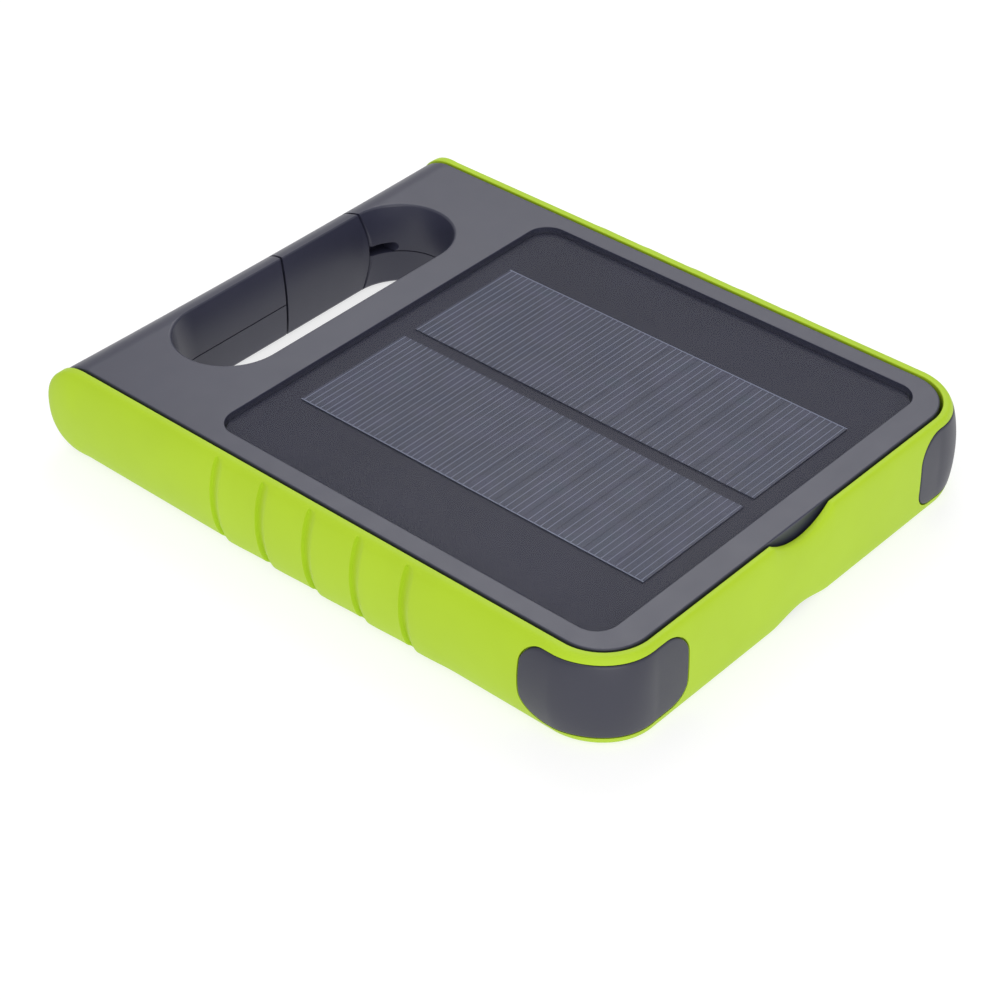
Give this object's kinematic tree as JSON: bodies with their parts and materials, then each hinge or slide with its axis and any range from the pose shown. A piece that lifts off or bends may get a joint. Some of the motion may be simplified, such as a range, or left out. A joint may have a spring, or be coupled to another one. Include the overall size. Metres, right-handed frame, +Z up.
{
  "type": "solar phone charger",
  "caption": "Flat solar phone charger: grey casing with a solar panel and a hand grip with a snap gate, in a green U-shaped frame that swings out as a stand.",
  "frame": {"origin": "on the casing's flat underside, on the centre line, 87.4 mm behind the frame's inner front face, with the charger lying closed, panel up", "axes": "+Z up out of the panel; +Y from the frame's front bar towards the hand opening; +X towards the gate's hinge, which is right of the middle"},
  "size_m": [0.143, 0.1833, 0.0246],
  "materials": {
    "grey_casing": "fine matt texture",
    "green_frame": "satin elastomer",
    "pad_rubber": "matt",
    "panel_board": "matt",
    "solar_cell": "satin",
    "clear_cover": "clear satin",
    "circuit_board": "satin",
    "chip_black": "matt",
    "steel": "satin",
    "battery_foil": "satin foil",
    "foam": "matt foam",
    "nylon": "satin",
    "seal_rubber": "matt",
    "led_white": "gloss",
    "red_wire": "satin",
    "black_wire": "satin",
    "phosphor_bronze": "satin"
  },
  "bodies": {
    "casing": {"battery_lead_negative": "black_wire", "battery_lead_positive": "red_wire", "battery_pack": "battery_foil", "battery_pad": "foam", "board_screw_1": "steel", "board_screw_2": "steel", "board_screw_3": "steel", "board_screw_4": "steel", "boost_inductor": "chip_black", "bottom_shell": "grey_casing", "button_switch": "chip_black", "case_screw_1": "steel", "case_screw_2": "steel", "case_screw_3": "steel", "case_screw_4": "steel", "case_screw_5": "steel", "case_screw_6": "steel", "controller_chip": "chip_black", "gate_pin": "steel", "gate_spring": "steel", "indicator_led_1": "led_white", "indicator_led_2": "led_white", "indicator_led_3": "led_white", "indicator_led_4": "led_white", "indicator_lens": "clear_cover", "main_board": "circuit_board", "micro_usb_port": "steel", "panel_board": "panel_board", "panel_cover": "clear_cover", "panel_lead_negative": "black_wire", "panel_lead_positive": "red_wire", "pivot_bush_left": "nylon", "pivot_bush_right": "nylon", "shell_gasket": "seal_rubber", "solar_cells_left": "solar_cell", "solar_cells_right": "solar_cell", "top_shell": "grey_casing", "usb_a_port": "steel"},
    "frame": {"frame": "green_frame", "corner_pad_left": "pad_rubber", "corner_pad_right": "pad_rubber", "pivot_screw_left": "steel", "pivot_screw_right": "steel", "friction_washer_left": "phosphor_bronze", "friction_washer_right": "phosphor_bronze"},
    "gate": {"gate": "grey_casing"},
    "button": {"power_button": "pad_rubber"}
  },
  "joints": [
    {"name": "frame_swing", "type": "hinge", "parent": "casing", "child": "frame", "pos_m": [0, 0.0809, 0.0123], "axis": [1, 0, 0], "range_deg": [0, 180]},
    {"name": "gate_swing", "type": "hinge", "parent": "casing", "child": "gate", "pos_m": [0.0377, 0.0842, 0.0123], "axis": [0, 0, 1], "range_deg": [0, 50], "stiffness_Nm_per_rad": 0.05, "springref_deg": -28.65},
    {"name": "power_button_press", "type": "slide", "parent": "casing", "child": "button", "axis": [0, 1, 0], "range_m": [0, 0.0008], "stiffness_N_per_m": 400, "springref_m": -0.0004}
  ]
}
